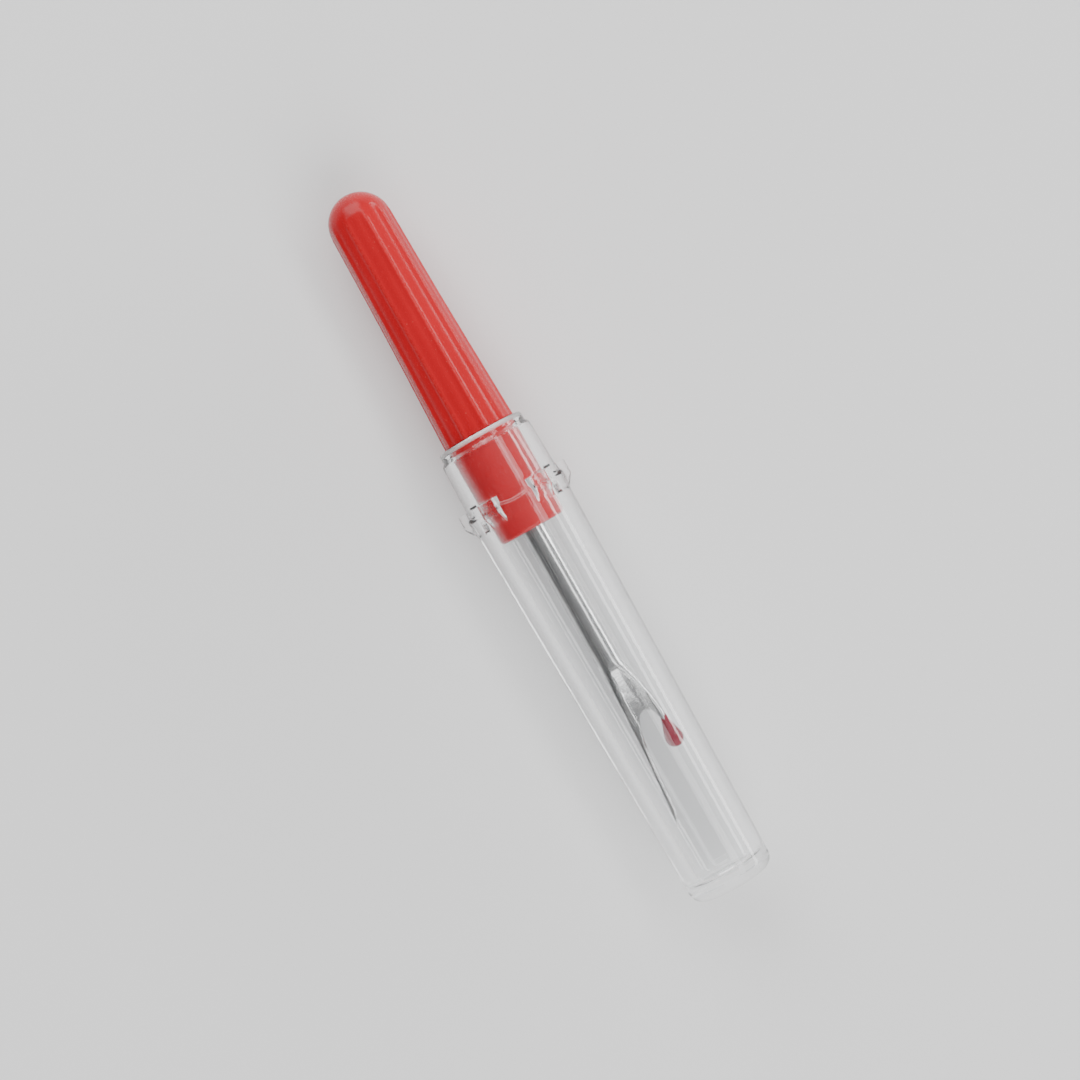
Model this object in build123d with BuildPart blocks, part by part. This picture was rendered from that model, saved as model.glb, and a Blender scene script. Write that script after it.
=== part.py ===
from build123d import *
import os
from math import asin, cos, degrees, radians, tan

# A small seam ripper with its cap on, in millimetres, +Z up. It is four pieces: a moulded handle with
# a ten-sided grip and a taper neck, a forked steel blade whose tang is moulded into the neck, a plastic
# bead on the blade's short prong, and a clear push-on cap with six lugs that stop the tool rolling.
#
# The tool lies level along X, with the grip's domed end at -X and the cap's closed end at +X. The fork
# is in the horizontal plane, with the bead on its +Y side. The origin is on the ground, under the
# middle of the tool, and the two lowest lugs of the cap rest on the ground.

# Lengths along the tool
overall_length = 88.0
grip_length = 30.3
neck_length = 12.2
seat_gap = 0.05  # between the handle's shoulder and the cap's mouth

# Grip: a ten-sided prism that flares towards the shoulder, with rounded ridges and a domed end
facet_count = 10
facet_phase = 13.5  # degrees from +Z towards +Y of one ridge
grip_end_radius = 3.66  # to the ridges
grip_middle_radius = 3.9
grip_shoulder_radius = 4.34
ridge_round = 0.6
dome_radius = 3.66
shoulder_round = 0.12
overlap = 1.0  # how far one solid reaches into the next where they are joined

# Neck and the cap's bore: a taper fit
bore_mouth_radius = 4.16
bore_draft = 0.8  # degrees
bore_depth = 55.7
bore_corner = 0.8
fit_gap = 0.04  # radial, between neck and bore
neck_corner = 0.45

# Cap outside, as distances from its mouth and radii
lip_length = 1.1
lip_radius = 5.15
collar_start = 1.45
collar_radius = 5.5
collar_end_radius = 5.68
ring_start = 7.1
ring_end = 10.1
body_radius = 5.84
closed_end_radius = 5.03
end_corner = 1.6
lip_round = 0.35
lead_in = 0.5  # chamfer at the bore's mouth

# Ring of lugs on the cap
lug_count = 6
lug_radius = 6.73
lug_width = 2.3
lug_round = 0.3
lug_slope_start = 8.8  # where a lug's outer face ends and its slope to the body starts
band_radius = 6.1  # the low band between the lugs
band_end = 8.9

# Blade: distances forward of the neck's end face, and offsets towards the bead
stem_radius = 1.45
tang_length = 17.0
wings_reach = 13.0  # the wings pinched out of the tang, which lock it in the plastic
wings_length = 4.0
wings_width = 3.9
wings_thickness = 0.8
outline_start = 1.55  # the flat outline starts a little outside the round stem
press_start = 17.4  # where the round stem starts to be pressed flat
press_end = 23.0
press_slope = -0.1  # of the pressed face at both its ends
fork_thickness = 1.3
prong_thickness = 0.9
envelope_spread = 0.3  # how fast the round envelope of the pressed stretch widens

# Blade: the short prong, the crotch and the long prong
bead_offset = 2.2
short_prong_end = 25.2  # a square end, where the pin under the bead starts
short_prong_width = 0.8
short_outer_middle = (21.2, 2.14)
pin_reach = 27.6
pin_radius = 0.4
pin_tip_radius = 0.28
crotch_reach = 23.7
crotch_offset = 0.72
crotch_radius = 1.0
crotch_turn = 70  # degrees of the crotch's arc on the long prong's side
point_reach = 36.8
point_offset = -2.36
point_thickness = 0.25
point_slope = -0.62  # of the long prong's inner edge at its point
long_inner_middle = ((27.8, -1.05), (34.6, -1.6))
long_outer_middle = ((32.2, -2.06), (26.5, -1.66))

# Blade: the hollow grind on each face, down from the stem's surface to the cutting edge
grind_start = 17.9
grind_end = 25.4
grind_overlap = 0.12  # how much wider than the crotch the grind is, on each side
cutting_edge = 0.08  # thickness left at the cutting edge
wheel_start = (17.4, 1.65)  # reach, and height above the fork's middle plane
wheel_middle = (20.8, 0.52)

# Bead: a drop on the short prong's pin
bead_start_radius = 0.61  # just covers the prong's corners
bead_tail_slope = 0.1
bead_radius = 1.08
bead_reach = 28.95

# Places that follow from those
lug_step = 360 / lug_count
lug_corner_reach = lug_radius - lug_round
lug_corner_turn = degrees(asin((lug_width / 2 - lug_round) / lug_corner_reach))
axis_height = lug_corner_reach * cos(radians(lug_step / 2 - lug_corner_turn)) + lug_round
dome_x = -overall_length / 2
shoulder_x = dome_x + grip_length
neck_end_x = shoulder_x + neck_length
mouth_x = shoulder_x + seat_gap
closed_end_x = overall_length / 2
crotch_centre = crotch_reach + crotch_radius
stem_end = press_start - overlap
tool_centre = Vector(0, 0, axis_height)
tool_axis = Axis(tool_centre, (1, 0, 0))
bead_axis = Axis((0, bead_offset, axis_height), (1, 0, 0))

# Planes: the side profile's from the middle of the tool, from the cap's mouth and from the neck's end,
# with their local Y up, and the fork's own plane, with its local Y towards the bead
side_plane = Plane(tool_centre, x_dir=(1, 0, 0), z_dir=(0, -1, 0))
mouth_plane = Plane((mouth_x, 0, axis_height), x_dir=(1, 0, 0), z_dir=(0, -1, 0))
blade_side_plane = Plane((neck_end_x, 0, axis_height), x_dir=(1, 0, 0), z_dir=(0, -1, 0))
fork_plane = Plane((neck_end_x, 0, axis_height), x_dir=(1, 0, 0), z_dir=(0, 0, 1))


def cross_plane(x):
    """The plane across the tool at x, with its local X along +Y and its local Y along +Z."""
    return Plane((x, 0, axis_height), x_dir=(0, 1, 0), z_dir=(1, 0, 0))


def bore_radius(from_mouth):
    return bore_mouth_radius - from_mouth * tan(radians(bore_draft))


# The hollow grind's cut on the fork's upper face: a round-ended slot over the crotch, under a wheel
# that reaches down to the cutting edge
with BuildPart() as grind_cut:
    with BuildSketch(fork_plane):
        slot_radius = crotch_radius + grind_overlap
        with Locations(((grind_start + grind_end) / 2, crotch_offset)):
            SlotOverall(grind_end - grind_start, 2 * slot_radius)
    extrude(amount=2 * stem_radius)
    with BuildSketch(blade_side_plane):
        with BuildLine():
            wheel = ThreePointArc(wheel_start, wheel_middle, (crotch_reach, cutting_edge / 2))
            Polyline(
                wheel @ 1,
                (crotch_centre, cutting_edge / 2),
                (grind_end, fork_thickness / 2),
                (grind_end, 2 * stem_radius),
                (wheel_start[0], 2 * stem_radius),
                wheel @ 0,
            )
        make_face()
    extrude(amount=2 * lug_radius, both=True, mode=Mode.INTERSECT)

# Fork: the front of the blade's round stem, pressed flat, split into two prongs and ground
with BuildPart() as fork:
    # its outline from above: the short prong's edges, the crotch, and the long prong out to its point
    with BuildSketch(fork_plane):
        with BuildLine():
            short_outer = Spline(
                (stem_end, outline_start),
                short_outer_middle,
                (short_prong_end, bead_offset + short_prong_width / 2),
                tangents=[(1, 0), (1, 0)],
            )
            short_end = Line(short_outer @ 1, (short_prong_end, bead_offset - short_prong_width / 2))
            short_inner = Line(short_end @ 1, (crotch_centre, crotch_offset + crotch_radius))
            crotch = CenterArc((crotch_centre, crotch_offset), crotch_radius, 90, 90 + crotch_turn)
            long_inner = Spline(
                crotch @ 1,
                *long_inner_middle,
                (point_reach, point_offset),
                tangents=[crotch % 1, (1, point_slope)],
            )
            long_outer = Spline(
                long_inner @ 1,
                *long_outer_middle,
                (stem_end, -outline_start),
                tangents=[(-1, 0), (-1, 0)],
            )
            Line(short_outer @ 0, long_outer @ 1)
        make_face()
    extrude(amount=outline_start, both=True)
    with BuildSketch(blade_side_plane):
        with BuildLine():
            stem_top = Polyline((stem_end, 0), (stem_end, outline_start), (press_start, outline_start))
            pressed = Spline(
                stem_top @ 1,
                (press_end, fork_thickness / 2),
                tangents=[(1, press_slope), (1, press_slope)],
            )
            prong_top = Polyline(
                pressed @ 1,
                (short_prong_end, prong_thickness / 2),
                (point_reach, point_thickness / 2),
                (point_reach, 0),
            )
            mirror((stem_top, pressed, prong_top), about=Plane.XZ)
        make_face()
    extrude(amount=2 * lug_radius, both=True, mode=Mode.INTERSECT)
    # the pressed stretch keeps the round of the stem, inside a widening envelope
    with BuildSketch(blade_side_plane):
        with BuildLine():
            envelope_length = point_reach + overlap - press_start
            Polyline(
                (stem_end, 0),
                (stem_end, stem_radius),
                (press_start, stem_radius),
                (press_start + envelope_length, stem_radius + envelope_spread * envelope_length),
                (press_start + envelope_length, 0),
                close=True,
            )
        make_face()
    revolve(axis=tool_axis, mode=Mode.INTERSECT)
    add(grind_cut.part, mode=Mode.SUBTRACT)
    add(grind_cut.part.mirror(fork_plane), mode=Mode.SUBTRACT)

# Blade: the fork on its round stem, with wings pinched out of the tang, and the pin under the bead
with BuildPart() as blade:
    with BuildSketch(cross_plane(neck_end_x - tang_length)):
        Circle(stem_radius)
    extrude(amount=tang_length + stem_end)
    with BuildSketch(cross_plane(neck_end_x - wings_reach)):
        Rectangle(wings_width, wings_thickness)
    extrude(amount=wings_length)
    add(fork.part)
    # the pin that the bead sits on
    with BuildSketch(fork_plane):
        with BuildLine():
            Polyline(
                (short_prong_end - pin_radius, bead_offset),
                (short_prong_end - pin_radius, bead_offset + pin_radius),
                (short_prong_end, bead_offset + pin_radius),
                (pin_reach, bead_offset + pin_tip_radius),
                (pin_reach, bead_offset),
                close=True,
            )
        make_face()
    revolve(axis=bead_axis)
blade.part.label = "blade"

# Bead: a drop-shaped plastic ball, moulded round the pin
with BuildPart() as bead:
    with BuildSketch(fork_plane):
        with BuildLine():
            tail = Spline(
                (short_prong_end, bead_offset + bead_start_radius),
                (bead_reach - bead_radius, bead_offset + bead_radius),
                tangents=[(1, bead_tail_slope), (1, 0)],
            )
            ball = JernArc(tail @ 1, (1, 0), bead_radius, -90)
            Polyline(ball @ 1, (short_prong_end, bead_offset), tail @ 0)
        make_face()
    revolve(axis=bead_axis)
    add(blade.part, mode=Mode.SUBTRACT)
bead.part.label = "bead"

# Handle: the ten-sided grip with its dome, and the neck moulded round the blade's tang
with BuildPart() as handle:
    grip_middle_x = dome_x + grip_length / 2
    for x, radius in (
        (dome_x, grip_end_radius),
        (grip_middle_x, grip_middle_radius),
        (shoulder_x, grip_shoulder_radius),
    ):
        with BuildSketch(cross_plane(x)) as section:
            RegularPolygon(radius, facet_count, rotation=90 - facet_phase)
            fillet(section.vertices(), ridge_round)
    loft()
    with BuildSketch(side_plane):
        with BuildLine():
            dome = JernArc((dome_x, 0), (0, 1), dome_radius, -90)
            Polyline(dome @ 1, (shoulder_x, grip_shoulder_radius + overlap), (shoulder_x, 0), dome @ 0)
        make_face()
    revolve(axis=tool_axis, mode=Mode.INTERSECT)
    fillet(handle.faces().sort_by(Axis.X)[-1].outer_wire().edges(), shoulder_round)
    with BuildSketch(side_plane):
        with BuildLine():
            neck_root = bore_radius(-seat_gap) - fit_gap
            neck_tip = bore_radius(neck_length - seat_gap) - fit_gap
            Polyline(
                (shoulder_x - overlap, 0),
                (shoulder_x - overlap, neck_root),
                (shoulder_x, neck_root),
                (neck_end_x, neck_tip),
                (neck_end_x, 0),
                close=True,
            )
        make_face()
    revolve(axis=tool_axis)
    fillet(handle.edges().group_by(Axis.X)[-1], neck_corner)
    add(blade.part, mode=Mode.SUBTRACT)
handle.part.label = "handle"

# Lug ring: six lugs with flat faces towards the mouth, sloping into the cap's body behind
with BuildPart() as lug_ring:
    with BuildSketch(cross_plane(mouth_x + ring_start)) as lug_section:
        with PolarLocations(0, lug_count // 2, angular_range=180):
            Rectangle(4 * lug_radius, lug_width)
        Circle(lug_radius, mode=Mode.INTERSECT)
        fillet(lug_section.vertices().filter_by(lambda tip: Vector(tip).length > body_radius), lug_round)
    extrude(amount=ring_end - ring_start)
    with BuildSketch(mouth_plane):
        with BuildLine():
            Polyline(
                (ring_start, 0),
                (ring_start, lug_radius + overlap),
                (lug_slope_start, lug_radius + overlap),
                (lug_slope_start, lug_radius),
                (ring_end, body_radius),
                (ring_end, 0),
                close=True,
            )
        make_face()
    revolve(axis=tool_axis, mode=Mode.INTERSECT)

# Cap: a clear closed tube with a lip, a collar, the ring of lugs and a tapered bore
with BuildPart() as cap:
    cap_length = closed_end_x - mouth_x
    with BuildSketch(mouth_plane):
        with BuildLine():
            Polyline(
                (0, 0),
                (0, lip_radius),
                (lip_length, lip_radius),
                (collar_start, collar_radius),
                (ring_start, collar_end_radius),
                (ring_start, band_radius),
                (band_end, band_radius),
                (ring_end, body_radius),
                (cap_length, closed_end_radius),
                (cap_length, 0),
                close=True,
            )
        make_face()
    revolve(axis=tool_axis)
    fillet(cap.edges().group_by(Axis.X)[-1], end_corner)
    add(lug_ring.part)
    with BuildSketch(mouth_plane):
        with BuildLine():
            Polyline(
                (0, 0),
                (0, bore_mouth_radius),
                (bore_depth, bore_radius(bore_depth)),
                (bore_depth, 0),
                close=True,
            )
        make_face()
    revolve(axis=tool_axis, mode=Mode.SUBTRACT)
    round_edges = cap.edges().filter_by(GeomType.CIRCLE)
    fillet(round_edges.sort_by(lambda edge: abs(edge.center().X - mouth_x - bore_depth))[0], bore_corner)
    fillet(round_edges.filter_by(lambda edge: round(edge.radius, 3) == lip_radius), lip_round)
    chamfer(cap.faces().sort_by(Axis.X)[0].edges().sort_by(SortBy.RADIUS)[0], lead_in)
cap.part.label = "cap"

os.makedirs("parts", exist_ok=True)
for piece in (handle, blade, bead, cap):
    export_step(piece.part, f"parts/{piece.part.label}.step")
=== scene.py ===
from math import atan2, cos, hypot, inf, pi, radians, sin, sqrt

import bmesh
import bpy
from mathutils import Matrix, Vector


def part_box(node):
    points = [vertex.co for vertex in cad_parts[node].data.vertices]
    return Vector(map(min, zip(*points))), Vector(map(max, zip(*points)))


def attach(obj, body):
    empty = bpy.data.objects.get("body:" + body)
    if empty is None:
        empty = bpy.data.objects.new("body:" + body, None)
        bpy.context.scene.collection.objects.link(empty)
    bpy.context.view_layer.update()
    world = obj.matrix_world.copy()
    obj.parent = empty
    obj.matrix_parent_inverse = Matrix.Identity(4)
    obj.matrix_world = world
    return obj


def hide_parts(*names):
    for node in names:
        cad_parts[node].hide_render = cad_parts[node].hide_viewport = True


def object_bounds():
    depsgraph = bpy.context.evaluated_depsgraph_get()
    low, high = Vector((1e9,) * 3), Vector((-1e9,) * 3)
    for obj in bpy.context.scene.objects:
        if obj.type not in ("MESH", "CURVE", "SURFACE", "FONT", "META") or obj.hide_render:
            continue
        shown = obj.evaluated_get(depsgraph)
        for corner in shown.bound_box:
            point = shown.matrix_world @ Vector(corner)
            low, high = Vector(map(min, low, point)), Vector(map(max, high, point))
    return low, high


# A small seam ripper with its clear cap on, lying on a pale table. Lengths in the shapes below are in
# millimetres, measured along the tool's axis and out from it, and are turned to metres in the mesh.

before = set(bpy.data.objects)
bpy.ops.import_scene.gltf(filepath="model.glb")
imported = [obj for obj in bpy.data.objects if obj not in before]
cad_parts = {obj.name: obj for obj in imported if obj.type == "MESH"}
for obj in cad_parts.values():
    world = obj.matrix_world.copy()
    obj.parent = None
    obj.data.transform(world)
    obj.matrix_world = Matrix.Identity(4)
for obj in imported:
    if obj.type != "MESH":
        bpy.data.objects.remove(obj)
cad_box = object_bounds()
MM = 0.001

handle_low, handle_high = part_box("handle")
blade_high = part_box("blade")[1]
bead_low, bead_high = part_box("bead")
cap_low, cap_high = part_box("cap")

AXIS_Z = (cap_low.z + cap_high.z) / 2  # the lug ring is centred on the tool's axis
DOME_X = handle_low.x
NECK_END_X = handle_high.x
MOUTH_X = cap_low.x
BEAD_OFFSET = (bead_low.y + bead_high.y) / 2 / MM
BEAD_REACH = (bead_high.x - NECK_END_X) / MM
POINT_REACH = (blade_high.x - NECK_END_X) / MM
CAP_LENGTH = (cap_high.x - cap_low.x) / MM
HANDLE_LENGTH = (handle_high.x - handle_low.x) / MM


# ---------------------------------------------------------------- shapes: common tools


def soft_min(a, b, blend):
    """The smaller of a and b, rounded off where they are within blend of each other."""
    near = max(blend - abs(a - b), 0) / blend
    return min(a, b) - near * near * blend / 4


def soft_max(a, b, blend):
    """The larger of a and b, rounded in where they are within blend of each other."""
    return -soft_min(-a, -b, blend)


def smooth(low, high, value):
    """0 below low, 1 above high, and an S-curve between them."""
    t = min(max((value - low) / (high - low), 0), 1)
    return t * t * (3 - 2 * t)


def along(points, value):
    """A smooth curve through (place, height) points, read at one place."""
    if value <= points[0][0]:
        return points[0][1]
    if value >= points[-1][0]:
        return points[-1][1]
    i = next(k for k in range(len(points) - 1) if value <= points[k + 1][0])
    before, after = max(i - 1, 0), min(i + 2, len(points) - 1)
    (x0, y0), (x1, y1) = points[i], points[i + 1]
    slope0 = (y1 - points[before][1]) / (x1 - points[before][0])
    slope1 = (points[after][1] - y0) / (points[after][0] - x0)
    t, step = (value - x0) / (x1 - x0), x1 - x0
    return (
        y0 * (2 * t**3 - 3 * t**2 + 1)
        + slope0 * step * (t**3 - 2 * t**2 + t)
        + y1 * (3 * t**2 - 2 * t**3)
        + slope1 * step * (t**3 - t**2)
    )


def steps(start, end, count):
    """count evenly spaced values from start up to but not including end."""
    return [start + (end - start) * k / count for k in range(count)]


def arc(centre, radius, start, end, count):
    """Points (along, out) on a round corner, by its centre and its angles in degrees."""
    turns = [radians(start + (end - start) * k / count) for k in range(count + 1)]
    return [(centre[0] + radius * cos(turn), centre[1] + radius * sin(turn)) for turn in turns]


def round_place(origin_x, reach, out, turn, offset=0.0):
    """A point at a reach along the axis and a distance out from it, turned from +Z towards +Y."""
    return (origin_x + reach * MM, (offset + out * sin(turn)) * MM, AXIS_Z + out * cos(turn) * MM)


def polar(place, origin_x):
    """The reach along the axis, distance out and turn of a point, as round_place takes them."""
    across, up = place.y / MM, (place.z - AXIS_Z) / MM
    return (place.x - origin_x) / MM, hypot(across, up), atan2(across, up)


NORMAL_WEIGHT = 80  # how far the larger faces decide the shading at a corner, from 1 to 100


def new_piece(name, bm, body, node, materials, worn):
    """Turns a mesh into a piece of the object. worn gives how exposed to wear each point is, 0 to 1."""
    wear = bm.verts.layers.float.new("wear")
    for vert in bm.verts:
        vert[wear] = worn(vert.co)
    mesh = bpy.data.meshes.new(name)
    bmesh.ops.recalc_face_normals(bm, faces=bm.faces)
    for face in bm.faces:
        face.smooth = True
    bm.to_mesh(mesh)
    bm.free()
    piece = bpy.data.objects.new(name, mesh)
    bpy.context.collection.objects.link(piece)
    for material in materials:
        mesh.materials.append(material)
    weighted = piece.modifiers.new("weighted_normals", "WEIGHTED_NORMAL")
    weighted.weight = NORMAL_WEIGHT
    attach(piece, body)
    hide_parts(node)


def round_rings(origin_x, profile, turns):
    """A ring of places at each (reach, out) of a round profile."""
    return [[round_place(origin_x, reach, out, turn) for turn in turns] for reach, out in profile]


def skin(rings, closed_start, closed_end):
    """A mesh over rings of equal length, closed by a fan to a point at each end."""
    bm = bmesh.new()
    rows = [[bm.verts.new(place) for place in ring] for ring in rings]
    count = len(rows[0])
    for near, far in zip(rows, rows[1:]):
        for k in range(count):
            bm.faces.new((near[k], near[(k + 1) % count], far[(k + 1) % count], far[k]))
    for row, tip in ((rows[0], closed_start), (rows[-1], closed_end)):
        middle = bm.verts.new(tip)
        for k in range(count):
            bm.faces.new((row[k], row[(k + 1) % count], middle))
    return bm


# ---------------------------------------------------------------- materials


def map_range(tree, value, low, high, at_low, at_high):
    """A node's output mapped from low..high to at_low..at_high, held at the ends."""
    node = tree.nodes.new("ShaderNodeMapRange")
    node.inputs["From Min"].default_value = low
    node.inputs["From Max"].default_value = high
    node.inputs["To Min"].default_value = at_low
    node.inputs["To Max"].default_value = at_high
    tree.links.new(value, node.inputs["Value"])
    return node.outputs["Result"]


class Paint:
    """A node material under construction: a Principled shader and short ways to add nodes to it."""

    def __init__(self, name, color, roughness, **values):
        self.material = bpy.data.materials.new(name)
        self.material.use_nodes = True
        self.tree = self.material.node_tree
        self.shader = self.tree.nodes["Principled BSDF"]
        self.shader.inputs["Base Color"].default_value = (*color, 1)
        self.shader.inputs["Roughness"].default_value = roughness
        for key, value in values.items():
            self.shader.inputs[key.replace("_", " ")].default_value = value
        self.places = self.tree.nodes.new("ShaderNodeTexCoord").outputs["Object"]

    def stretched(self, scale):
        """Places on the object, in metres, times a scale along each axis."""
        node = self.tree.nodes.new("ShaderNodeMapping")
        node.inputs["Scale"].default_value = scale
        self.tree.links.new(self.places, node.inputs["Vector"])
        return node.outputs["Vector"]

    def noise(self, size_mm, detail=2.0, stretch=(1, 1, 1), distortion=0.0):
        """Noise of a feature size in millimetres, drawn out by stretch along each axis."""
        node = self.tree.nodes.new("ShaderNodeTexNoise")
        node.inputs["Scale"].default_value = 1
        node.inputs["Detail"].default_value = detail
        node.inputs["Distortion"].default_value = distortion
        scale = [1 / (size_mm * MM * pull) for pull in stretch]
        self.tree.links.new(self.stretched(scale), node.inputs["Vector"])
        return node.outputs["Fac"]

    def specks(self, spacing_mm, size):
        """1 inside sparse round specks, 0 elsewhere."""
        node = self.tree.nodes.new("ShaderNodeTexVoronoi")
        node.inputs["Scale"].default_value = 1
        self.tree.links.new(self.stretched([1 / (spacing_mm * MM)] * 3), node.inputs["Vector"])
        return self.ramp(node.outputs["Distance"], 0, size, 1, 0)

    def wear(self, size_mm):
        """1 where an exposed edge is worn, in patches of a size in millimetres."""
        node = self.tree.nodes.new("ShaderNodeAttribute")
        node.attribute_name = "wear"
        patches = self.ramp(self.noise(size_mm, detail=4), 0.4, 0.62, 0, 1)
        return self.math("MULTIPLY", node.outputs["Fac"], patches)

    def ramp(self, value, low, high, at_low, at_high):
        """value mapped from low..high to at_low..at_high, held at the ends."""
        return map_range(self.tree, value, low, high, at_low, at_high)

    def mix_color(self, factor, first, second):
        """first where factor is 0 and second where it is 1. Each is a colour or a node's output."""
        node = self.tree.nodes.new("ShaderNodeMix")
        node.data_type = "RGBA"
        self.tree.links.new(factor, node.inputs["Factor"])
        for socket, color in ((node.inputs["A"], first), (node.inputs["B"], second)):
            if isinstance(color, tuple):
                socket.default_value = (*color, 1)
            else:
                self.tree.links.new(color, socket)
        return node.outputs["Result"]

    def math(self, operation, first, second):
        """MULTIPLY, ADD or MAXIMUM of two values, each a number or a node's output."""
        node = self.tree.nodes.new("ShaderNodeMath")
        node.operation = operation
        for socket, value in zip(node.inputs, (first, second)):
            if isinstance(value, (int, float)):
                socket.default_value = value
            else:
                self.tree.links.new(value, socket)
        return node.outputs["Value"]

    def drive(self, socket, value):
        """Sets a socket of the shader from a node's output."""
        self.tree.links.new(value, self.shader.inputs[socket])

    def bump(self, height, depth_mm):
        """Adds a height map of a given depth to the bumps already on the surface."""
        node = self.tree.nodes.new("ShaderNodeBump")
        node.inputs["Strength"].default_value = 1
        node.inputs["Distance"].default_value = depth_mm * MM
        self.tree.links.new(height, node.inputs["Height"])
        linked = self.shader.inputs["Normal"].links
        if linked:
            self.tree.links.new(linked[0].from_socket, node.inputs["Normal"])
        self.tree.links.new(node.outputs["Normal"], self.shader.inputs["Normal"])

    def pass_lamps(self, share):
        """Lets a share of the lamps' light straight through, so that what is inside is lit."""
        passing = self.tree.nodes.new("ShaderNodeBsdfTransparent")
        passing.inputs["Color"].default_value = (share, share, share, 1)
        rays = self.tree.nodes.new("ShaderNodeLightPath")
        either = self.tree.nodes.new("ShaderNodeMixShader")
        self.tree.links.new(rays.outputs["Is Shadow Ray"], either.inputs["Fac"])
        self.tree.links.new(self.shader.outputs["BSDF"], either.inputs[1])
        self.tree.links.new(passing.outputs["BSDF"], either.inputs[2])
        surface = self.tree.nodes["Material Output"].inputs["Surface"]
        self.tree.links.new(either.outputs["Shader"], surface)


def red_plastic(name, deep, light, speck):
    """Glossy moulded plastic with slow flow marks, fine scuffs, pale specks and rubbed edges."""
    paint = Paint(name, deep, 0.3, IOR=1.5, Specular_IOR_Level=0.24)
    flow = paint.noise(3.0, detail=2, stretch=(2.5, 1, 1), distortion=0.4)
    color = paint.mix_color(paint.ramp(flow, 0.3, 0.7, 0, 1), deep, light)
    rubbed = paint.wear(0.35)
    color = paint.mix_color(paint.math("MULTIPLY", rubbed, 0.06), color, speck)
    specks = paint.specks(spacing_mm=0.9, size=0.1)
    color = paint.mix_color(paint.math("MULTIPLY", specks, 0.45), color, speck)
    paint.drive("Base Color", color)
    scuffs = paint.noise(0.16, detail=4, stretch=(3, 1, 1))
    roughness = paint.ramp(scuffs, 0.35, 0.75, 0.18, 0.32)
    paint.drive("Roughness", paint.math("ADD", roughness, paint.math("MULTIPLY", rubbed, 0.08)))
    paint.bump(paint.noise(2.2, detail=2), depth_mm=0.012)
    paint.bump(scuffs, depth_mm=0.0008)
    return paint.material


def drawn_steel():
    """Plated wire: fine lines drawn along it, a little tarnish, and brighter where it is rubbed."""
    paint = Paint("drawn_steel", (0.6, 0.6, 0.6), 0.2, Metallic=1.0)
    tarnish = paint.ramp(paint.noise(1.4, detail=4, stretch=(2.5, 1, 1)), 0.35, 0.75, 0, 1)
    color = paint.mix_color(tarnish, (0.6, 0.6, 0.595), (0.42, 0.425, 0.43))
    paint.drive("Base Color", paint.mix_color(paint.wear(0.6), color, (0.78, 0.78, 0.775)))
    lines = paint.noise(0.09, detail=3, stretch=(60, 1, 1))
    paint.drive("Roughness", paint.ramp(lines, 0.3, 0.7, 0.14, 0.3))
    paint.bump(lines, depth_mm=0.0022)
    paint.bump(paint.noise(0.9, detail=2, stretch=(3, 1, 1)), depth_mm=0.006)
    return paint.material


def ground_steel():
    """The freshly cut faces round the cutting edge, with marks across the blade from the wheel."""
    paint = Paint("ground_steel", (0.55, 0.55, 0.55), 0.28, Metallic=1.0)
    marks = paint.noise(0.07, detail=3, stretch=(1, 40, 1), distortion=0.3)
    marked = paint.ramp(marks, 0.3, 0.7, 0, 1)
    color = paint.mix_color(marked, (0.55, 0.55, 0.545), (0.4, 0.4, 0.405))
    paint.drive("Base Color", paint.mix_color(paint.wear(0.3), color, (0.8, 0.8, 0.8)))
    paint.drive("Roughness", paint.ramp(marks, 0.3, 0.7, 0.2, 0.36))
    paint.bump(paint.noise(0.4, detail=2), depth_mm=0.03)
    paint.bump(marks, depth_mm=0.005)
    return paint.material


LAMPS_THROUGH = 0.62  # of a lamp's light, at each surface of the cap


def clear_plastic():
    """Clear polystyrene: faint flow waves, hairline scuffs, dust and rubbed rims."""
    paint = Paint("cap_clear", (0.99, 0.995, 1.0), 0.0, IOR=1.5, Transmission_Weight=1.0)
    hairlines = paint.noise(0.12, detail=3, stretch=(30, 1, 1), distortion=0.8)
    scuffed = paint.ramp(hairlines, 0.64, 0.8, 0.0, 0.25)
    marked = paint.math("MAXIMUM", paint.specks(spacing_mm=1.6, size=0.06), paint.wear(0.35))
    paint.drive("Roughness", paint.math("ADD", scuffed, paint.math("MULTIPLY", marked, 0.35)))
    paint.bump(paint.noise(3.2, detail=1, stretch=(3, 1, 1)), depth_mm=0.01)
    paint.pass_lamps(LAMPS_THROUGH)
    return paint.material


def matte_clear_plastic():
    """The same plastic where the mould leaves it matte: the mouth, the lugs' sides and the end."""
    paint = Paint("cap_matte", (1.0, 1.0, 1.0), 0.3, IOR=1.5, Transmission_Weight=0.88)
    grain = paint.noise(0.05, detail=3)
    paint.drive("Roughness", paint.ramp(grain, 0.3, 0.7, 0.25, 0.5))
    paint.bump(grain, depth_mm=0.003)
    paint.pass_lamps(LAMPS_THROUGH)
    return paint.material


# ---------------------------------------------------------------- handle

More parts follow.
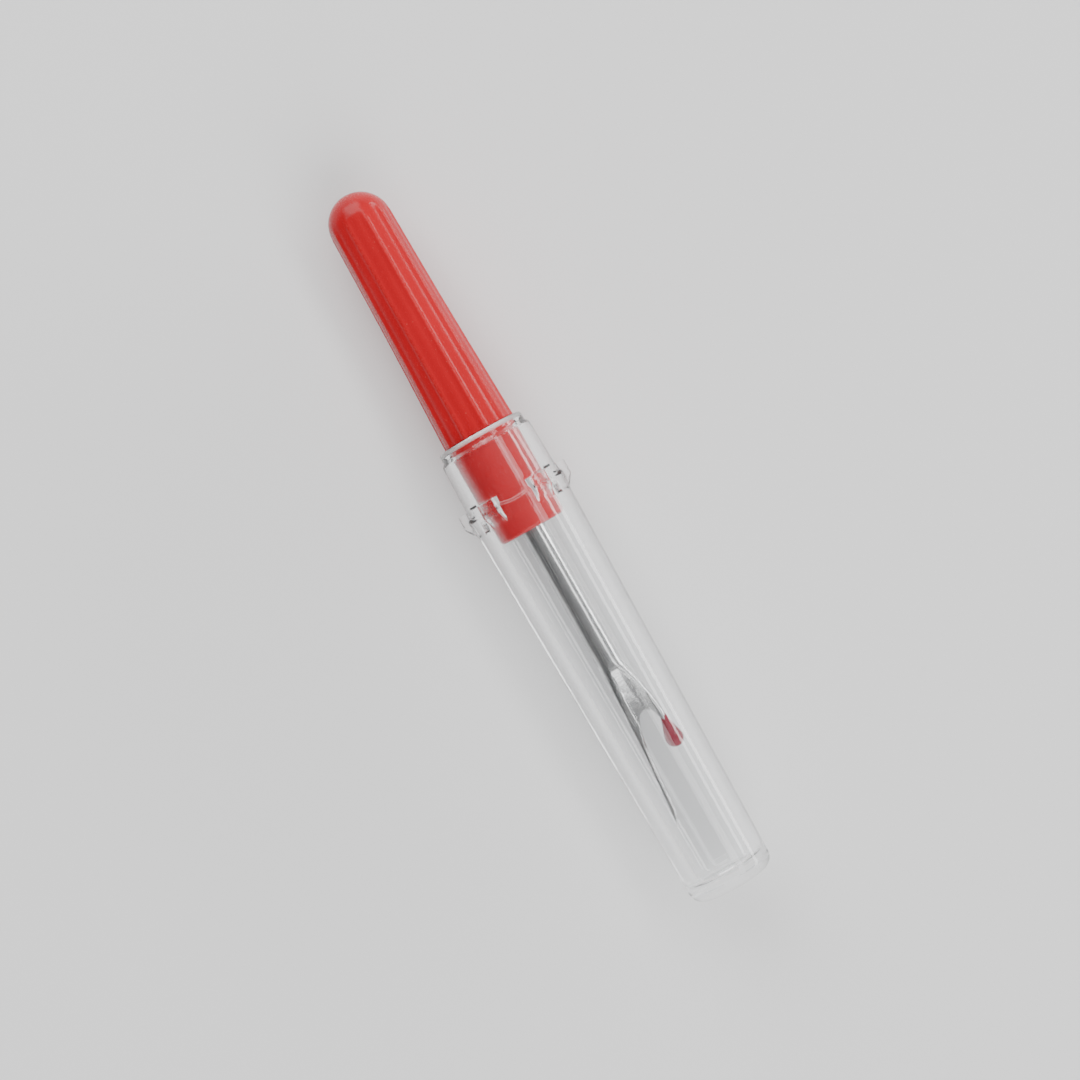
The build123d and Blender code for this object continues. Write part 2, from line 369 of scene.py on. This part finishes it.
FACETS = 10
HALF_FACET = pi / FACETS
RIDGE_TURN = 13.5  # degrees from +Z towards +Y of one ridge
RIDGE_ROUND = 0.6
RIDGE_WEAR = 0.2  # how far the wear on a ridge reaches to each side
DOME_RADIUS = 3.66
CROWN_WEAR = 1.6  # how far the wear on the dome's crown reaches along the tool
GRIP_LENGTH = 30.3
GRIP_RADII = ((0, DOME_RADIUS), (15.15, 3.9), (GRIP_LENGTH, 4.34))
FACET_EDGE_BLEND = 0.14  # between the facets and the dome
SHOULDER_ROUND = 0.14
NECK_LENGTH = HANDLE_LENGTH - GRIP_LENGTH
NECK_FILLET = 0.1
NECK_ROOT_RADIUS = 4.12
NECK_TIP_RADIUS = 3.95
NECK_CORNER = 0.45
STEM_RADIUS = 1.45
STEM_HOLE_DEPTH = 0.4


def from_ridge(turn):
    """The angle to the nearest ridge."""
    return abs((turn - radians(RIDGE_TURN) + HALF_FACET) % (2 * HALF_FACET) - HALF_FACET)


def grip_radius(reach, turn):
    """The grip's distance from the axis: ten flats with rounded ridges, under the dome."""
    aside = from_ridge(turn)
    flat = along(GRIP_RADII, reach) * cos(HALF_FACET)
    faceted = flat / cos(HALF_FACET - aside)
    ridge_centre = (flat - RIDGE_ROUND) / cos(HALF_FACET)
    across = ridge_centre * sin(aside)
    if across < RIDGE_ROUND:
        faceted = min(faceted, ridge_centre * cos(aside) + sqrt(RIDGE_ROUND**2 - across**2))
    if reach >= DOME_RADIUS:
        return faceted
    dome = sqrt(max(DOME_RADIUS**2 - (DOME_RADIUS - reach) ** 2, 0))
    return soft_min(dome, faceted, FACET_EDGE_BLEND)


def handle_wear(place):
    """The ridges, the crown of the dome and the shoulder's rim."""
    reach, out, turn = polar(place, DOME_X)
    if reach > GRIP_LENGTH or out < 1:
        return 0
    ridge = 1 - smooth(0.03, RIDGE_WEAR, out * from_ridge(turn))
    ridge *= smooth(DOME_RADIUS - 1, DOME_RADIUS, reach)
    rim = smooth(GRIP_LENGTH - 0.25, GRIP_LENGTH - 0.08, reach)
    crown = 0.5 * (1 - smooth(0.4, CROWN_WEAR, reach))
    return max(ridge, rim, crown)


def neck_radius(reach):
    taper = (NECK_TIP_RADIUS - NECK_ROOT_RADIUS) / NECK_LENGTH
    return NECK_ROOT_RADIUS + taper * (reach - GRIP_LENGTH)


def neck_profile():
    """The neck as (reach, out), from the shoulder to the hole that the blade's stem goes into."""
    fillet_centre = (GRIP_LENGTH + NECK_FILLET, NECK_ROOT_RADIUS + NECK_FILLET)
    profile = arc(fillet_centre, NECK_FILLET, 180, 270, 3)
    reaches = steps(GRIP_LENGTH + 0.5, HANDLE_LENGTH - NECK_CORNER, 14)
    profile += [(reach, neck_radius(reach)) for reach in reaches]
    corner_centre = (HANDLE_LENGTH - NECK_CORNER, NECK_TIP_RADIUS - NECK_CORNER)
    profile += arc(corner_centre, NECK_CORNER, 90, 0, 8)
    profile += [(HANDLE_LENGTH, out) for out in (3.0, 2.3, STEM_RADIUS + 0.1)]
    hole = ((0.03, 0.02), (STEM_HOLE_DEPTH - 0.1, -0.1))  # (depth, how much wider than the stem)
    return profile + [(HANDLE_LENGTH - depth, STEM_RADIUS + wider) for depth, wider in hole]


def make_handle(material):
    # the angles from the middle of a facet, close together where its ridges' rounding starts
    half = (0, 6, 11, 14.5, 15.5, 16, 16.5, 17, 17.5)
    within = [-step for step in half[:0:-1]] + list(half) + [180 / FACETS]
    middles = [RIDGE_TURN + (2 * k + 1) * 180 / FACETS for k in range(FACETS)]
    turns = [radians(middle + step) for middle in middles for step in within]

    dome = [DOME_RADIUS * (1 - cos(radians(step))) for step in range(4, 90, 4)]
    grip = steps(DOME_RADIUS, GRIP_LENGTH - SHOULDER_ROUND, 44)
    rings = []
    for reach in dome + grip:
        rings.append([round_place(DOME_X, reach, grip_radius(reach, turn), turn) for turn in turns])
    shoulder = arc((GRIP_LENGTH - SHOULDER_ROUND, -SHOULDER_ROUND), SHOULDER_ROUND, 90, 0, 5)
    for reach, drop in shoulder:
        outs = [grip_radius(GRIP_LENGTH, turn) + drop for turn in turns]
        rings.append([round_place(DOME_X, reach, out, turn) for out, turn in zip(outs, turns)])
    rings += round_rings(DOME_X, neck_profile(), turns)

    crown = round_place(DOME_X, 0, 0, 0)
    bm = skin(rings, crown, round_place(DOME_X, HANDLE_LENGTH - STEM_HOLE_DEPTH, 0, 0))
    new_piece("handle_moulding", bm, "handle", "handle", [material], handle_wear)


# ---------------------------------------------------------------- blade

# Reaches on the blade and the bead are measured from the neck's end.
STEM_END = 16.0
PRESS_START = 17.0
CROTCH_REACH = 23.7
CROTCH_OFFSET = 0.72
CROTCH_RADIUS = 1.0
CROTCH_TURN = 70  # degrees of the crotch's arc on the long prong's side
PIN_REACH = 27.0  # the end of the short prong, inside the bead

# the fork's edges, as (reach, offset towards +Y)
LONG_OUTER = (
    (STEM_END, -STEM_RADIUS), (17.5, -STEM_RADIUS), (26.5, -1.66), (32.2, -2.05), (POINT_REACH, -2.36),
)
LONG_INNER = (
    (24.36, -0.22), (25.5, -0.62), (27.8, -1.05), (30.2, -1.31), (32.5, -1.5), (34.6, -1.62),
    (35.9, -1.95), (POINT_REACH, -2.34),
)
SHORT_OUTER = (
    (STEM_END, STEM_RADIUS), (17.6, 1.47), (19.2, 1.83), (21.4, 2.22), (23.3, 2.46), (24.8, 2.55),
    (25.6, 2.5), (PIN_REACH, 2.4),
)
SHORT_INNER = ((24.7, 1.72), (25.0, 1.8), (25.5, 1.96), (PIN_REACH, 2.0))

# its section, as (reach, half thickness) and (reach, radius of the edges' rounding)
HALF_THICKNESS = (
    (STEM_END, STEM_RADIUS), (17.0, 1.44), (18.2, 1.3), (20.5, 0.86), (23.0, 0.62), (25.2, 0.46),
    (30.0, 0.36), (35.0, 0.2), (POINT_REACH, 0.03),
)
EDGE_ROUND = (
    (STEM_END, STEM_RADIUS), (17.0, STEM_RADIUS), (19.0, 1.05), (22.0, 0.62), (25.0, 0.46), (30.0, 0.34),
    (POINT_REACH, 0.1),
)

# the hollow ground into each face, down to the cutting edge in the crotch
GRIND_END = 25.6
GRIND_WALL = 1.12  # half the grind's width
GRIND_BLEND = 0.05
GRIND_FLOOR = (
    (17.4, 1.65), (18.4, 1.21), (19.6, 0.8), (20.8, 0.5), (22.2, 0.21), (CROTCH_REACH, 0.035),
    (24.8, 0.035), (GRIND_END, 0.6),
)
GRIND_CREASE = ((19.0, 0.35), (21.5, 0.5), (23.2, 0.85), (25.0, 1.3))  # where the second pass rises
CREASE_SLOPE = 0.3
WALL_SLOPE = 3.2
WHEEL_MARKS = (17.6, 25.5)  # the reach that shows ground steel
LEAST_FLOOR = 0.12  # the least width from the middle, or an inner edge, to the grind's wall
LEAST_LAND = 0.2  # the least width from the grind's wall to the outer edge
OUTER_COUNT, INNER_COUNT = 18, 16  # the steps across the land and across the grind


def crotch_sides(reach):
    """The offsets of the long and the short prong's inner edges, at a reach past the crotch."""
    centre = CROTCH_REACH + CROTCH_RADIUS
    ahead = min(reach, centre) - centre
    half_width = sqrt(max(CROTCH_RADIUS**2 - ahead**2, 0))
    long_start = CROTCH_REACH + CROTCH_RADIUS * (1 - cos(radians(CROTCH_TURN)))
    long_inner = CROTCH_OFFSET - half_width if reach < long_start else along(LONG_INNER, reach)
    short_inner = CROTCH_OFFSET + half_width if reach < centre else along(SHORT_INNER, reach)
    return long_inner, short_inner


def blade_height(reach, offset, inner, low, high):
    """Half the blade's thickness at a place: a pressed section with rounded edges, cut by the grind.

    low and high are its outer edges there, or infinite on a side where the inner edge comes first.
    """
    thickness = along(HALF_THICKNESS, reach)
    rounding = along(EDGE_ROUND, reach)

    def rounded(distance, radius):
        far = 1 - min(max(distance, 0) / radius, 1)
        return thickness * sqrt(max(1 - far * far, 0))

    height = rounded(min(offset - low, high - offset), min(rounding, (high - low) / 2))
    wall = max(abs(offset - CROTCH_OFFSET) - GRIND_WALL, 0)
    rise = CREASE_SLOPE * max(offset - along(GRIND_CREASE, reach), 0)
    if PRESS_START < reach < GRIND_END:
        floor = along(GRIND_FLOOR, reach) + rise + WALL_SLOPE * wall
        height = soft_min(height, floor, GRIND_BLEND)
    if inner is not None:
        bevel = 0.16 + 0.2 * smooth(24.5, 28, reach)  # short in the crotch, longer along the prongs
        height = min(height, rounded(abs(offset - inner), bevel))
    return max(height, 0)


def blade_wear(place):
    """The outer edges of the fork, and the edge that cuts."""
    reach, offset = (place.x - NECK_END_X) / MM, place.y / MM
    if reach < PRESS_START:
        return 0
    from_outer = min(offset - along(LONG_OUTER, reach), along(SHORT_OUTER, reach) - offset)
    crotch_centre = CROTCH_REACH + CROTCH_RADIUS
    if reach < crotch_centre:
        from_inner = abs(hypot(reach - crotch_centre, offset - CROTCH_OFFSET) - CROTCH_RADIUS)
    else:
        from_inner = min(abs(offset - inner) for inner in crotch_sides(reach))
    return max(1 - smooth(0.05, 0.3, from_outer), 0.5 * (1 - smooth(0.03, 0.15, from_inner)))


def across_prong(side, outer, middle):
    """Offsets from a prong's outer edge, over the grind's wall, to its inner edge or the middle."""
    wall_limit = max(side * outer - LEAST_LAND, side * (outer + middle) / 2)
    wall = max(side * CROTCH_OFFSET + GRIND_WALL, side * middle + LEAST_FLOOR)
    wall = side * min(wall, wall_limit)
    inward = [1 - cos(pi / 2 * k / OUTER_COUNT) for k in range(OUTER_COUNT)]
    offsets = [outer + (wall - outer) * share for share in inward]
    return offsets + steps(wall, middle, INNER_COUNT) + [middle]


def prong_rows(bm, reach, side):
    """Two rows of points across a prong, from its outer edge inwards: its top and its underside."""
    low, high = along(LONG_OUTER, reach), along(SHORT_OUTER, reach)
    outer = low if side < 0 else high
    inner, middle = None, CROTCH_OFFSET
    if reach >= CROTCH_REACH:
        inner = middle = crotch_sides(reach)[0 if side < 0 else 1]
        low, high = (low, inf) if side < 0 else (-inf, high)
    offsets = across_prong(side, outer, middle)
    x = NECK_END_X + reach * MM
    points = [(offset * MM, blade_height(reach, offset, inner, low, high) * MM) for offset in offsets]
    return [[bm.verts.new((x, y, AXIS_Z + up * height)) for y, height in points] for up in (1, -1)]


def add_prong(bm, reaches, side):
    """One prong's half of the blade, as an upper and a lower sheet that meet at its edges."""
    rows = [prong_rows(bm, reach, side) for reach in reaches]
    for sheet in (0, 1):
        for i in range(len(reaches) - 1):
            near, far = rows[i][sheet], rows[i + 1][sheet]
            marked = WHEEL_MARKS[0] < reaches[i] < WHEEL_MARKS[1]
            for k in range(len(near) - 1):
                face = bm.faces.new((near[k], near[k + 1], far[k + 1], far[k]))
                face.material_index = 1 if marked and k >= OUTER_COUNT else 0
    for top, underside in (rows[0], rows[-1]):
        bm.faces.new(top + underside[::-1])


def make_blade(drawn, ground):
    stem = [-1.0, -0.9] + steps(-0.4, STEM_END, 8)
    pressed = steps(STEM_END, CROTCH_REACH, 56) + [CROTCH_REACH - 0.01]
    crotch = [CROTCH_REACH + CROTCH_RADIUS * (1 - cos(radians(step))) for step in range(0, 90, 5)]
    short_tail = steps(CROTCH_REACH + CROTCH_RADIUS, PIN_REACH, 18) + [PIN_REACH]
    long_tail = steps(CROTCH_REACH + CROTCH_RADIUS, POINT_REACH, 64) + [POINT_REACH]
    bm = bmesh.new()
    add_prong(bm, stem + pressed + crotch + long_tail, -1)
    add_prong(bm, stem + pressed + crotch + short_tail, 1)
    bmesh.ops.remove_doubles(bm, verts=bm.verts, dist=1e-7)
    bmesh.ops.dissolve_degenerate(bm, edges=bm.edges, dist=1e-8)
    new_piece("forked_blade", bm, "handle", "blade", [drawn, ground], blade_wear)


# ---------------------------------------------------------------- bead

BEAD_RADIUS = 1.08
BEAD_START = 24.75
BEAD_BALL = BEAD_REACH - BEAD_RADIUS  # the reach of the ball's centre
BEAD_TAIL = (
    (BEAD_START, 0.16), (25.1, 0.34), (25.6, 0.45), (26.1, 0.57), (26.8, 0.82), (27.4, 1.0),
    (27.87, BEAD_RADIUS),
)
TAIL_LEAN = 0.1  # how far the thin end stands off the ball's line, to follow the prong
TAIL_LEAN_END = 26.8


def bead_wear(place):
    """The end of the ball, which slides along the cloth."""
    return 0.6 * smooth(BEAD_REACH - 0.6, BEAD_REACH, (place.x - NECK_END_X) / MM)


def make_bead(material):
    turns = steps(0, 2 * pi, 64)
    profile = [(reach, along(BEAD_TAIL, reach)) for reach in steps(BEAD_START, BEAD_BALL, 30)]
    profile += arc((BEAD_BALL, 0), BEAD_RADIUS, 90, 4, 20)
    rings = []
    for reach, out in profile:
        offset = BEAD_OFFSET + TAIL_LEAN * (1 - smooth(BEAD_START, TAIL_LEAN_END, reach))
        rings.append([round_place(NECK_END_X, reach, out, turn, offset) for turn in turns])
    tail_tip = round_place(NECK_END_X, BEAD_START - 0.05, 0, 0, BEAD_OFFSET + TAIL_LEAN)
    bm = skin(rings, tail_tip, round_place(NECK_END_X, BEAD_REACH, 0, 0, BEAD_OFFSET))
    new_piece("ball_tip", bm, "handle", "bead", [material], bead_wear)


# ---------------------------------------------------------------- cap

BORE_MOUTH_RADIUS = 4.16
BORE_END_RADIUS = 3.382
BORE_DEPTH = 55.7
BORE_CORNER = 0.8
LEAD_IN = 0.5  # the chamfer inside the mouth
LIP_RADIUS = 5.15
LIP_ROUND = 0.35
COLLAR_START = 1.45
COLLAR_RADIUS = 5.5
COLLAR_END_RADIUS = 5.68
RING_START = 7.1
RING_END = 10.1
LUG_SLOPE_START = 8.8
BAND_FALL_START = 9.0
LUG_FACE_ROUND = 0.14
BODY_RADIUS = 5.84
CLOSED_END_RADIUS = 5.03
END_CORNER = 1.6
MATTE_END = 0.7 * END_CORNER  # the length of the closed end that is matte
LUGS = 6
LUG_TURN = pi / LUGS  # half the angle from one lug to the next
LUG_RADIUS = cap_high.y / MM
LUG_HALF_WIDTH = 1.15
LUG_ROUND = 0.32
BAND_RADIUS = 6.06
BAND_SCALLOP = 1.1  # how much further back the band starts between two lugs than beside one


def collar_radius(reach):
    slope = (COLLAR_END_RADIUS - COLLAR_RADIUS) / (RING_START - COLLAR_START)
    return COLLAR_RADIUS + slope * (reach - COLLAR_START)


def barrel_radius(reach):
    slope = (CLOSED_END_RADIUS - BODY_RADIUS) / (CAP_LENGTH - RING_END)
    return BODY_RADIUS + slope * (reach - RING_END)


def lug_outline(top, from_lug):
    """The outline of a lug that is LUG_HALF_WIDTH wide each side, with round corners at its top."""
    side = LUG_HALF_WIDTH - LUG_ROUND
    up = sqrt((top - LUG_ROUND) ** 2 - side**2)
    if from_lug < side / up:
        return top
    if from_lug > LUG_HALF_WIDTH / up:
        return LUG_HALF_WIDTH / sin(from_lug)
    ahead = up * cos(from_lug) + side * sin(from_lug)
    return ahead + sqrt(max(ahead**2 - up**2 - side**2 + LUG_ROUND**2, 0))


def cap_outside(reach, turn):
    """The cap's outer distance from the axis behind its lip: collar, band, lugs and barrel."""
    collar = collar_radius(reach)
    if reach < RING_START:
        return collar
    from_gap = abs((turn + LUG_TURN) % (2 * LUG_TURN) - LUG_TURN)  # 0 midway between two lugs
    from_lug = LUG_TURN - from_gap
    body = collar + (BODY_RADIUS - collar) * smooth(RING_START, RING_END, reach)
    if reach > RING_END:
        body = barrel_radius(reach)
    scallop = BAND_SCALLOP * cos(from_gap / LUG_TURN * pi / 2) ** 0.7
    rise = smooth(RING_START - 0.1 + scallop, RING_START + 0.35 + scallop, reach)
    fall = 1 - smooth(BAND_FALL_START, RING_END + 0.2, reach)
    band = body + (BAND_RADIUS - body) * rise * fall

    if reach > RING_END:
        return band
    top = LUG_RADIUS
    if reach > LUG_SLOPE_START:
        slope = (LUG_RADIUS - BODY_RADIUS) / (RING_END - LUG_SLOPE_START)
        top = soft_min(top, LUG_RADIUS - slope * (reach - LUG_SLOPE_START), 0.2)
    front = min(reach - RING_START, LUG_FACE_ROUND)
    top -= LUG_FACE_ROUND - sqrt(LUG_FACE_ROUND**2 - (LUG_FACE_ROUND - front) ** 2)
    lug = lug_outline(top, from_lug)
    return soft_max(band, lug, 0.12) if lug > band - 0.12 else band


def cap_wear(place):
    """The tops of the lugs, the lip, the collar's rim and the corner of the closed end."""
    reach, out, _ = polar(place, MOUTH_X)
    lugs = smooth(LUG_RADIUS - 0.4, LUG_RADIUS - 0.05, out)
    lip = smooth(LIP_RADIUS - 0.3, LIP_RADIUS, out) * (1 - smooth(0.3, 0.6, reach))
    rim = smooth(COLLAR_RADIUS - 0.2, COLLAR_RADIUS - 0.02, out) * (1 - smooth(1.55, 1.75, reach))
    corner = smooth(CAP_LENGTH - 1.2, CAP_LENGTH - 0.4, reach) * smooth(3.6, 4.2, out)
    return max(lugs, lip, rim, corner)


def is_matte(face):
    """True on the mouth, the sides of the lugs and the closed end."""
    middle = face.calc_center_median()
    reach, out, _ = polar(middle, MOUTH_X)
    outward = (face.normal.y * middle.y + face.normal.z * (middle.z - AXIS_Z)) / (out * MM)
    on_mouth = reach < LEAD_IN + 0.1 and out > BORE_MOUTH_RADIUS + 0.04
    on_lug_side = RING_START < reach < RING_END and outward < 0.6 and out > BODY_RADIUS
    return on_mouth or on_lug_side or reach > CAP_LENGTH - MATTE_END


def bore_profile():
    """The bore as (reach, out), from the middle of its closed end to the mouth."""
    profile = [(BORE_DEPTH, out) for out in (0.6, 1.3, 2.0, 2.5)]
    corner_centre = (BORE_DEPTH - BORE_CORNER, BORE_END_RADIUS - BORE_CORNER)
    profile += arc(corner_centre, BORE_CORNER, 0, 90, 10)
    slope = (BORE_END_RADIUS - BORE_MOUTH_RADIUS) / BORE_DEPTH
    reaches = steps(BORE_DEPTH - 2, LEAD_IN + 0.1, 24)
    profile += [(reach, BORE_MOUTH_RADIUS + slope * reach) for reach in reaches]
    profile += [(LEAD_IN + 0.06, BORE_MOUTH_RADIUS), (LEAD_IN - 0.02, BORE_MOUTH_RADIUS + 0.03)]
    return profile + [(0.04, BORE_MOUTH_RADIUS + LEAD_IN - 0.05), (0, BORE_MOUTH_RADIUS + LEAD_IN)]


def lip_profile():
    """The lip and the rim of the collar, as (reach, out)."""
    profile = arc((LIP_ROUND, LIP_RADIUS - LIP_ROUND), LIP_ROUND, 180, 90, 8)
    profile += [(reach, LIP_RADIUS) for reach in (0.55, 0.75, 0.9)]
    profile += arc((0.98, LIP_RADIUS + 0.16), 0.16, 270, 315, 3)
    return profile + arc((COLLAR_START + 0.12, COLLAR_RADIUS - 0.26), 0.26, 135, 92, 5)


def closed_end_profile():
    """The round corner of the closed end, its flat and the shallow mark of the gate."""
    corner_centre = (CAP_LENGTH - END_CORNER, CLOSED_END_RADIUS + 0.02 - END_CORNER)
    profile = arc(corner_centre, END_CORNER, 90, 0, 16)
    profile += [(CAP_LENGTH, out) for out in (2.6, 1.8, 1.1)]
    gate_mark = ((0.03, 0.97), (0.12, 0.9), (0.16, 0.8), (0.16, 0.4))  # (depth, out)
    return profile + [(CAP_LENGTH - depth, out) for depth, out in gate_mark]


def make_cap(clear, matte):
    # the angles from the middle of a lug, close together at its sides
    beside = (0, 3, 5.5, 7.2, 8.2, 8.8, 9.2, 9.5, 9.8, 10.1, 10.4, 10.7, 11.0, 11.3, 11.7, 12.3, 13.5)
    beside += (16, 19, 22, 25, 28)
    half_gap = 180 / LUGS
    around = sorted({side * step for step in beside for side in (1, -1)} | {half_gap})
    turns = [radians(half_gap + 2 * half_gap * k + step) for k in range(LUGS) for step in around]

    outside = steps(COLLAR_START + 0.25, RING_START, 12) + [RING_START - 0.001]
    outside += [RING_START + LUG_FACE_ROUND * step for step in (0, 0.04, 0.15, 0.35, 0.65, 1)]
    outside += steps(RING_START + LUG_FACE_ROUND + 0.08, RING_END + 0.6, 44)
    outside += steps(RING_END + 0.6, CAP_LENGTH - END_CORNER, 40)
    rings = round_rings(MOUTH_X, bore_profile() + lip_profile(), turns)
    for reach in outside:
        outs = [cap_outside(reach, turn) for turn in turns]
        rings.append([round_place(MOUTH_X, reach, out, turn) for out, turn in zip(outs, turns)])
    rings += round_rings(MOUTH_X, closed_end_profile(), turns)

    gate_floor = round_place(MOUTH_X, CAP_LENGTH - 0.14, 0, 0)
    bm = skin(rings, round_place(MOUTH_X, BORE_DEPTH, 0, 0), gate_floor)
    bmesh.ops.recalc_face_normals(bm, faces=bm.faces)
    for face in bm.faces:
        face.material_index = 1 if is_matte(face) else 0
    new_piece("clear_cap", bm, "cap", "cap", [clear, matte], cap_wear)


# ---------------------------------------------------------------- the object

# the deep and the light red of the flow marks, and the pale specks
HANDLE_REDS = ((0.41, 0.0065, 0.011), (0.45, 0.0075, 0.013), (0.75, 0.2, 0.15))
BEAD_REDS = ((0.16, 0.003, 0.014), (0.22, 0.005, 0.024), (0.5, 0.16, 0.2))

make_handle(red_plastic("handle_red", *HANDLE_REDS))
make_blade(drawn_steel(), ground_steel())
make_bead(red_plastic("bead_red", *BEAD_REDS))
make_cap(clear_plastic(), matte_clear_plastic())

# ---------------------------------------------------------------- floor, light and camera

# Lengths here are in metres.
FLOOR_HALF = 2.0
SKY_BEHIND, SKY_AHEAD = 0.15, 0.55  # the sky's strength towards -Y and +Y
HORIZON_GLOW = 0.45
GLOW_BAND = (0.02, 0.3)  # the rise, as a sine, over which the glow fades
LAMP_DISTANCE = 1.5
CAMERA_HEIGHT = 0.34
CAMERA_TURN = 60.43  # degrees about +Z


def make_floor():
    mesh = bpy.data.meshes.new("floor")
    corners = [(x * FLOOR_HALF, y * FLOOR_HALF, 0) for x, y in ((-1, -1), (1, -1), (1, 1), (-1, 1))]
    mesh.from_pydata(corners, [], [(0, 1, 2, 3)])
    floor = bpy.data.objects.new("floor", mesh)
    bpy.context.collection.objects.link(floor)
    paper = Paint("pale_card", (0.8, 0.8, 0.8), 0.65)
    paper.bump(paper.noise(0.35, detail=4), depth_mm=0.01)
    mesh.materials.append(paper.material)


def make_sky():
    """A white studio, brighter on the +Y side and near the horizon."""
    world = bpy.data.worlds.new("studio")
    world.use_nodes = True
    tree = world.node_tree
    direction = tree.nodes.new("ShaderNodeTexCoord").outputs["Generated"]
    sides = tree.nodes.new("ShaderNodeSeparateXYZ")
    tree.links.new(direction, sides.inputs["Vector"])
    brightness = tree.nodes.new("ShaderNodeMath")
    across = map_range(tree, sides.outputs["Y"], -1, 1, SKY_BEHIND, SKY_AHEAD)
    glow = map_range(tree, sides.outputs["Z"], *GLOW_BAND, HORIZON_GLOW, 0)
    tree.links.new(across, brightness.inputs[0])
    tree.links.new(glow, brightness.inputs[1])
    background = tree.nodes["Background"]
    background.inputs["Color"].default_value = (1, 1, 1, 1)
    tree.links.new(brightness.outputs["Value"], background.inputs["Strength"])
    bpy.context.scene.world = world


def softbox(name, azimuth, elevation, size, power):
    """A soft lamp facing the tool from a direction in degrees. Size in metres, power in watts."""
    light = bpy.data.lights.new(name, "AREA")
    light.shape = "RECTANGLE"
    light.size, light.size_y = size
    light.energy = power
    lamp = bpy.data.objects.new(name, light)
    turn, rise = radians(azimuth), radians(elevation)
    towards = Vector((cos(turn) * cos(rise), sin(turn) * cos(rise), sin(rise)))
    lamp.location = towards * LAMP_DISTANCE
    lamp.rotation_euler = (-lamp.location).to_track_quat("-Z", "Y").to_euler()
    lamp.visible_camera = False
    bpy.context.collection.objects.link(lamp)


def make_camera():
    """Straight above the tool, looking down."""
    data = bpy.data.cameras.new("camera")
    data.lens = 100
    data.sensor_width = 36
    camera = bpy.data.objects.new("camera", data)
    middle = (cad_box[0] + cad_box[1]) / 2
    camera.location = (middle.x, middle.y, CAMERA_HEIGHT)
    camera.rotation_euler = (0, 0, radians(CAMERA_TURN))
    bpy.context.collection.objects.link(camera)
    bpy.context.scene.camera = camera


make_floor()
make_sky()
softbox("key", 90, 56, (2.25, 0.35), 10.6)
softbox("low_side", 90, 9, (2.25, 0.25), 19.0)
softbox("fill_ahead", 0, 34, (1.25, 1.5), 24.0)
softbox("fill_behind", 180, 34, (1.25, 1.5), 24.0)
make_camera()
